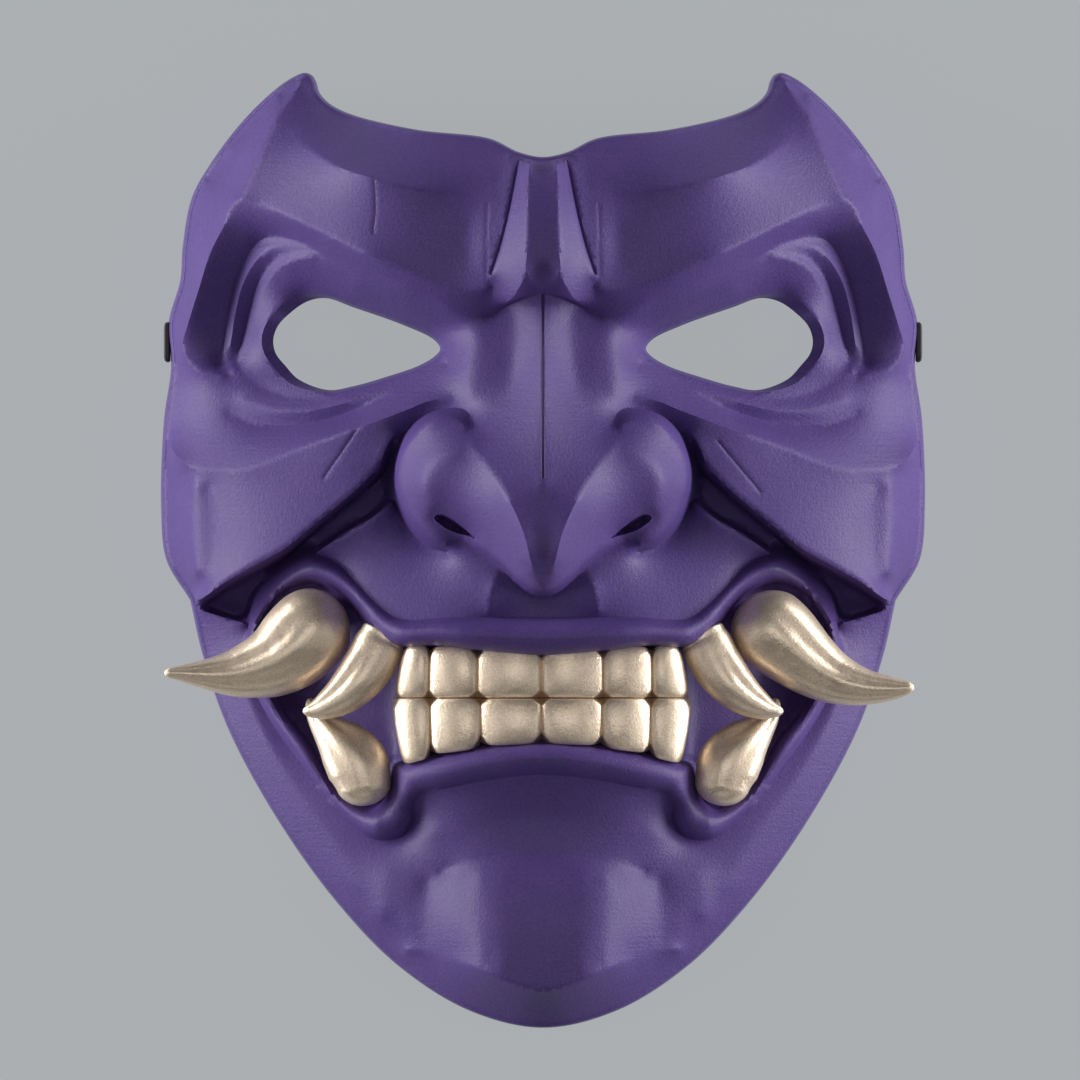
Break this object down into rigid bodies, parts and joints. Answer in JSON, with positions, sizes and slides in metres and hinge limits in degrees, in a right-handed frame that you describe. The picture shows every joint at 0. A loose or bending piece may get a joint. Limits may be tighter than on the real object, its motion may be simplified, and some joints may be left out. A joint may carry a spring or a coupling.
{
  "type": "samurai mask",
  "caption": "Full-face samurai mask with a snarling horned demon's face, open eye holes, and metallic teeth, fangs and tusks set into its moulded shell.",
  "frame": {"origin": "on the surface that the mask lies on, under the middle of its bounding box", "axes": "+Z the way the face looks, +Y towards the forehead, +X the viewer's right when facing the mask"},
  "size_m": [0.1914, 0.2383, 0.0966],
  "materials": {
    "violet_shell": "satin moulded resin in violet",
    "champagne_teeth": "champagne gold metallic coat with fine streaks along each tooth",
    "strap_tab": "dark brown moulded plastic"
  },
  "bodies": {
    "root": {"mask_shell": "violet_shell", "upper_teeth": "champagne_teeth", "lower_teeth": "champagne_teeth", "tusk_left": "champagne_teeth", "tusk_right": "champagne_teeth", "upper_fang_left": "champagne_teeth", "upper_fang_right": "champagne_teeth", "lower_fang_left": "champagne_teeth", "lower_fang_right": "champagne_teeth", "strap_lug_left": "strap_tab", "strap_lug_right": "strap_tab"}
  },
  "joints": []
}
